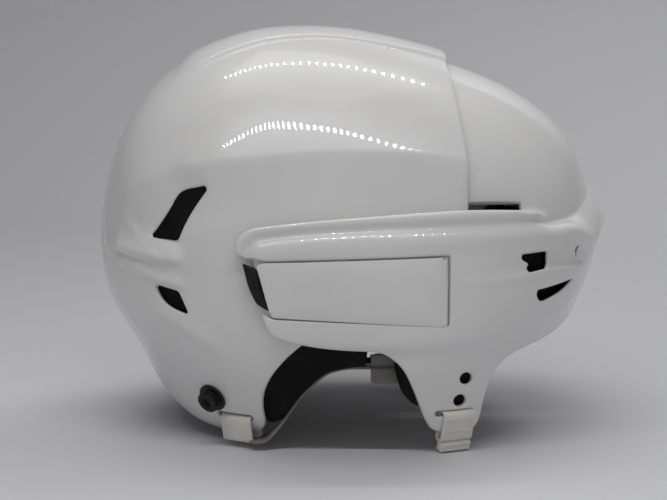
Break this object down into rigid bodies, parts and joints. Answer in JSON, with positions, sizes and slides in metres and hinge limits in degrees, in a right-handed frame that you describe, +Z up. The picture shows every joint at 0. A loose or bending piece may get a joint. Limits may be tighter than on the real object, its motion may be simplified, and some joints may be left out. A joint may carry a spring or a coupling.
{
  "type": "ice hockey helmet",
  "caption": "Two-piece player helmet: a rear shell over a sliding front shell with brow band, side latches, foam liners, ear straps and strap loops.",
  "frame": {"origin": "on the standing level, under the middle of the helmet's box", "axes": "+X forward over the brow, +Y to the wearer's left, +Z up"},
  "size_m": [0.2846, 0.2104, 0.2224],
  "materials": {
    "shell_plastic": "gloss white moulded",
    "black_plastic": "satin black moulded",
    "foam": "matt black closed-cell foam",
    "strap_plastic": "soft off-white",
    "steel": "zinc plated"
  },
  "bodies": {
    "rear": {"rear_shell": "shell_plastic", "crown_liner": "foam", "rear_liner": "foam", "rack_screws": "steel", "post_plates": "black_plastic", "right_side_liner": "foam", "right_adjust_rack": "black_plastic", "right_snap_post": "black_plastic", "right_rear_strap_loop": "strap_plastic", "right_rear_strap": "strap_plastic", "left_side_liner": "foam", "left_adjust_rack": "black_plastic", "left_snap_post": "black_plastic", "left_rear_strap_loop": "strap_plastic", "left_rear_strap": "strap_plastic"},
    "front": {"front_shell": "shell_plastic", "front_crown_liner": "foam", "forehead_liner": "foam", "strap_screws": "steel", "right_temple_pad": "foam", "right_latch_pin": "steel", "right_front_strap_loop": "strap_plastic", "right_strap_keeper": "strap_plastic", "right_front_strap": "strap_plastic", "left_temple_pad": "foam", "left_latch_pin": "steel", "left_front_strap_loop": "strap_plastic", "left_strap_keeper": "strap_plastic", "left_front_strap": "strap_plastic"},
    "right_latch": {"right_latch_cover": "shell_plastic", "right_latch_lever": "black_plastic"},
    "right_slider": {"right_strap_slider": "strap_plastic"},
    "left_latch": {"left_latch_cover": "shell_plastic", "left_latch_lever": "black_plastic"},
    "left_slider": {"left_strap_slider": "strap_plastic"}
  },
  "joints": [
    {"name": "shell_slide", "type": "slide", "parent": "rear", "child": "front", "axis": [1, 0, 0], "range_m": [-0.012, 0]},
    {"name": "right_latch_hinge", "type": "hinge", "parent": "front", "child": "right_latch", "pos_m": [0.04403, -0.10053, 0.08878], "axis": [0, 0, 1], "range_deg": [0, 75]},
    {"name": "right_slider_slide", "type": "slide", "parent": "front", "child": "right_slider", "axis": [1, 0, 0], "range_m": [0, 0.006]},
    {"name": "left_latch_hinge", "type": "hinge", "parent": "front", "child": "left_latch", "pos_m": [0.04403, 0.10053, 0.08878], "axis": [0, 0, -1], "range_deg": [0, 75]},
    {"name": "left_slider_slide", "type": "slide", "parent": "front", "child": "left_slider", "axis": [1, 0, 0], "range_m": [0, 0.006]}
  ]
}
